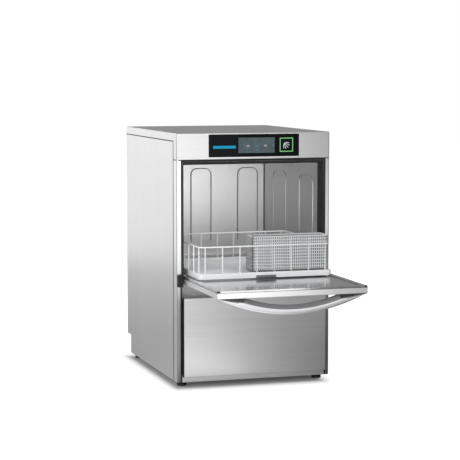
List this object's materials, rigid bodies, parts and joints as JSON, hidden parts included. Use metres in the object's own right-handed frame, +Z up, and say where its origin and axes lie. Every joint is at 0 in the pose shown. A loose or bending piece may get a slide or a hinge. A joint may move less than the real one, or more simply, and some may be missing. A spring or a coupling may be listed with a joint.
{
  "type": "commercial dishwasher",
  "caption": "Under-counter commercial dishwasher: stainless body, drop-down door open with a bow handle, rack run out over it, touch panel, spray arms, tank, pumps and boiler inside.",
  "frame": {"origin": "on the floor, under the middle of the box the machine fills with its door open", "axes": "+Z up, the door opens towards -Y, +X to the right seen from the front"},
  "size_m": [0.46, 0.925, 0.725],
  "materials": {
    "stainless": "brushed, satin",
    "chamber_steel": "bright rolled",
    "black_rubber": "matt",
    "black_plastic": "fine texture",
    "black_glass": "polished",
    "display": "lit screen",
    "green_light": "lit ring",
    "handle_satin": "satin",
    "white_plastic": "semi-matt",
    "rack_wire": "coated wire",
    "grey_plastic": "fine texture",
    "motor_grey": "satin",
    "pipe_plastic": "semi-matt",
    "zinc_steel": "zinc plated",
    "circuit_green": "lacquered"
  },
  "bodies": {
    "cabinet": {"arm_stubs": "chamber_steel", "base_tray": "stainless", "boiler_heater": "zinc_steel", "control_board": "circuit_green", "control_glass": "black_glass", "control_housing": "grey_plastic", "corner_posts": "stainless", "display_module": "display", "door_gasket": "black_rubber", "door_springs": "zinc_steel", "dosing_pump_cases": "grey_plastic", "drain_pump_housing": "grey_plastic", "drain_spigot": "grey_plastic", "hinge_bushes": "grey_plastic", "hinge_covers": "black_plastic", "hood_cover": "stainless", "inlet_valve": "grey_plastic", "left_side_panel": "stainless", "lower_front_panel": "stainless", "mains_cable": "black_plastic", "panel_screws": "zinc_steel", "power_box": "grey_plastic", "rack_rails": "chamber_steel", "rear_panel": "stainless", "right_side_panel": "stainless", "rinse_boiler": "chamber_steel", "rinse_pipes": "pipe_plastic", "sill_plate": "stainless", "start_light_ring": "green_light", "strainer_basket": "chamber_steel", "tank_heater": "zinc_steel", "tank_strainer": "chamber_steel", "wash_chamber": "chamber_steel", "wash_pipes": "pipe_plastic", "wash_pump_housing": "grey_plastic", "wash_pump_motor": "motor_grey", "wash_tank": "chamber_steel"},
    "door": {"door_outer_panel": "stainless", "door_inner_panel": "stainless", "door_corner_caps": "black_plastic", "door_handle": "handle_satin", "handle_inserts": "black_plastic", "door_hinge_levers": "zinc_steel"},
    "rack": {"rack_base": "white_plastic", "rack_wires": "rack_wire", "rack_grip": "grey_plastic"},
    "basket": {"cutlery_basket": "white_plastic"},
    "start_key": {"start_button": "black_glass"},
    "lower_wash": {"lower_wash_arm": "chamber_steel"},
    "lower_rinse": {"lower_rinse_arm": "chamber_steel"},
    "upper_wash": {"upper_wash_arm": "chamber_steel"},
    "upper_rinse": {"upper_rinse_arm": "chamber_steel"},
    "wash_rotor": {"wash_impeller": "grey_plastic"},
    "drain_rotor": {"drain_impeller": "grey_plastic"},
    "detergent_wheel": {"detergent_rotor": "grey_plastic"},
    "rinse_aid_wheel": {"rinse_aid_rotor": "grey_plastic"},
    "foot_fl": {"foot_front_left": "black_plastic"},
    "foot_fr": {"foot_front_right": "black_plastic"},
    "foot_rl": {"foot_rear_left": "black_plastic"},
    "foot_rr": {"foot_rear_right": "black_plastic"}
  },
  "joints": [
    {"name": "door_hinge", "type": "hinge", "parent": "cabinet", "child": "door", "pos_m": [0, -0.1275, 0.313], "axis": [-1, 0, 0], "range_deg": [0, 90], "deforming": ["door_springs"]},
    {"name": "rack_carry", "type": "hinge", "parent": "door", "child": "rack", "pos_m": [0, -0.2155, 0.401], "axis": [-1, 0, 0], "range_deg": [-90, 0]},
    {"name": "basket_lift", "type": "slide", "parent": "rack", "child": "basket", "axis": [0, 0, 1], "range_m": [0, 0.09]},
    {"name": "start_button_press", "type": "slide", "parent": "cabinet", "child": "start_key", "axis": [0, 1, 0], "range_m": [0, 0.0015], "stiffness_N_per_m": 400},
    {"name": "lower_wash_spin", "type": "hinge", "parent": "cabinet", "child": "lower_wash", "pos_m": [0, 0.1525, 0.287], "axis": [0, 0, 1], "continuous": true},
    {"name": "lower_rinse_spin", "type": "hinge", "parent": "cabinet", "child": "lower_rinse", "pos_m": [0, 0.1525, 0.302], "axis": [0, 0, 1], "continuous": true},
    {"name": "upper_wash_spin", "type": "hinge", "parent": "cabinet", "child": "upper_wash", "pos_m": [0, 0.1525, 0.64], "axis": [0, 0, 1], "continuous": true},
    {"name": "upper_rinse_spin", "type": "hinge", "parent": "cabinet", "child": "upper_rinse", "pos_m": [0, 0.1525, 0.625], "axis": [0, 0, 1], "continuous": true},
    {"name": "wash_pump_spin", "type": "hinge", "parent": "cabinet", "child": "wash_rotor", "pos_m": [0.095, 0.1975, 0.095], "axis": [0, 1, 0], "continuous": true},
    {"name": "drain_pump_spin", "type": "hinge", "parent": "cabinet", "child": "drain_rotor", "pos_m": [0.02, 0.3135, 0.075], "axis": [0, 1, 0], "continuous": true},
    {"name": "detergent_spin", "type": "hinge", "parent": "cabinet", "child": "detergent_wheel", "pos_m": [-0.02, -0.0765, 0.112], "axis": [0, 1, 0], "continuous": true},
    {"name": "rinse_aid_spin", "type": "hinge", "parent": "cabinet", "child": "rinse_aid_wheel", "pos_m": [-0.092, -0.0765, 0.112], "axis": [0, 1, 0], "continuous": true},
    {"name": "foot_fl_screw", "type": "slide", "parent": "cabinet", "child": "foot_fl", "axis": [0, 0, -1], "range_m": [0, 0.012]},
    {"name": "foot_fr_screw", "type": "slide", "parent": "cabinet", "child": "foot_fr", "axis": [0, 0, -1], "range_m": [0, 0.012]},
    {"name": "foot_rl_screw", "type": "slide", "parent": "cabinet", "child": "foot_rl", "axis": [0, 0, -1], "range_m": [0, 0.012]},
    {"name": "foot_rr_screw", "type": "slide", "parent": "cabinet", "child": "foot_rr", "axis": [0, 0, -1], "range_m": [0, 0.012]}
  ],
  "couplings": [
    {"joint": "rack_carry", "follows": "door_hinge", "ratio": -1}
  ]
}
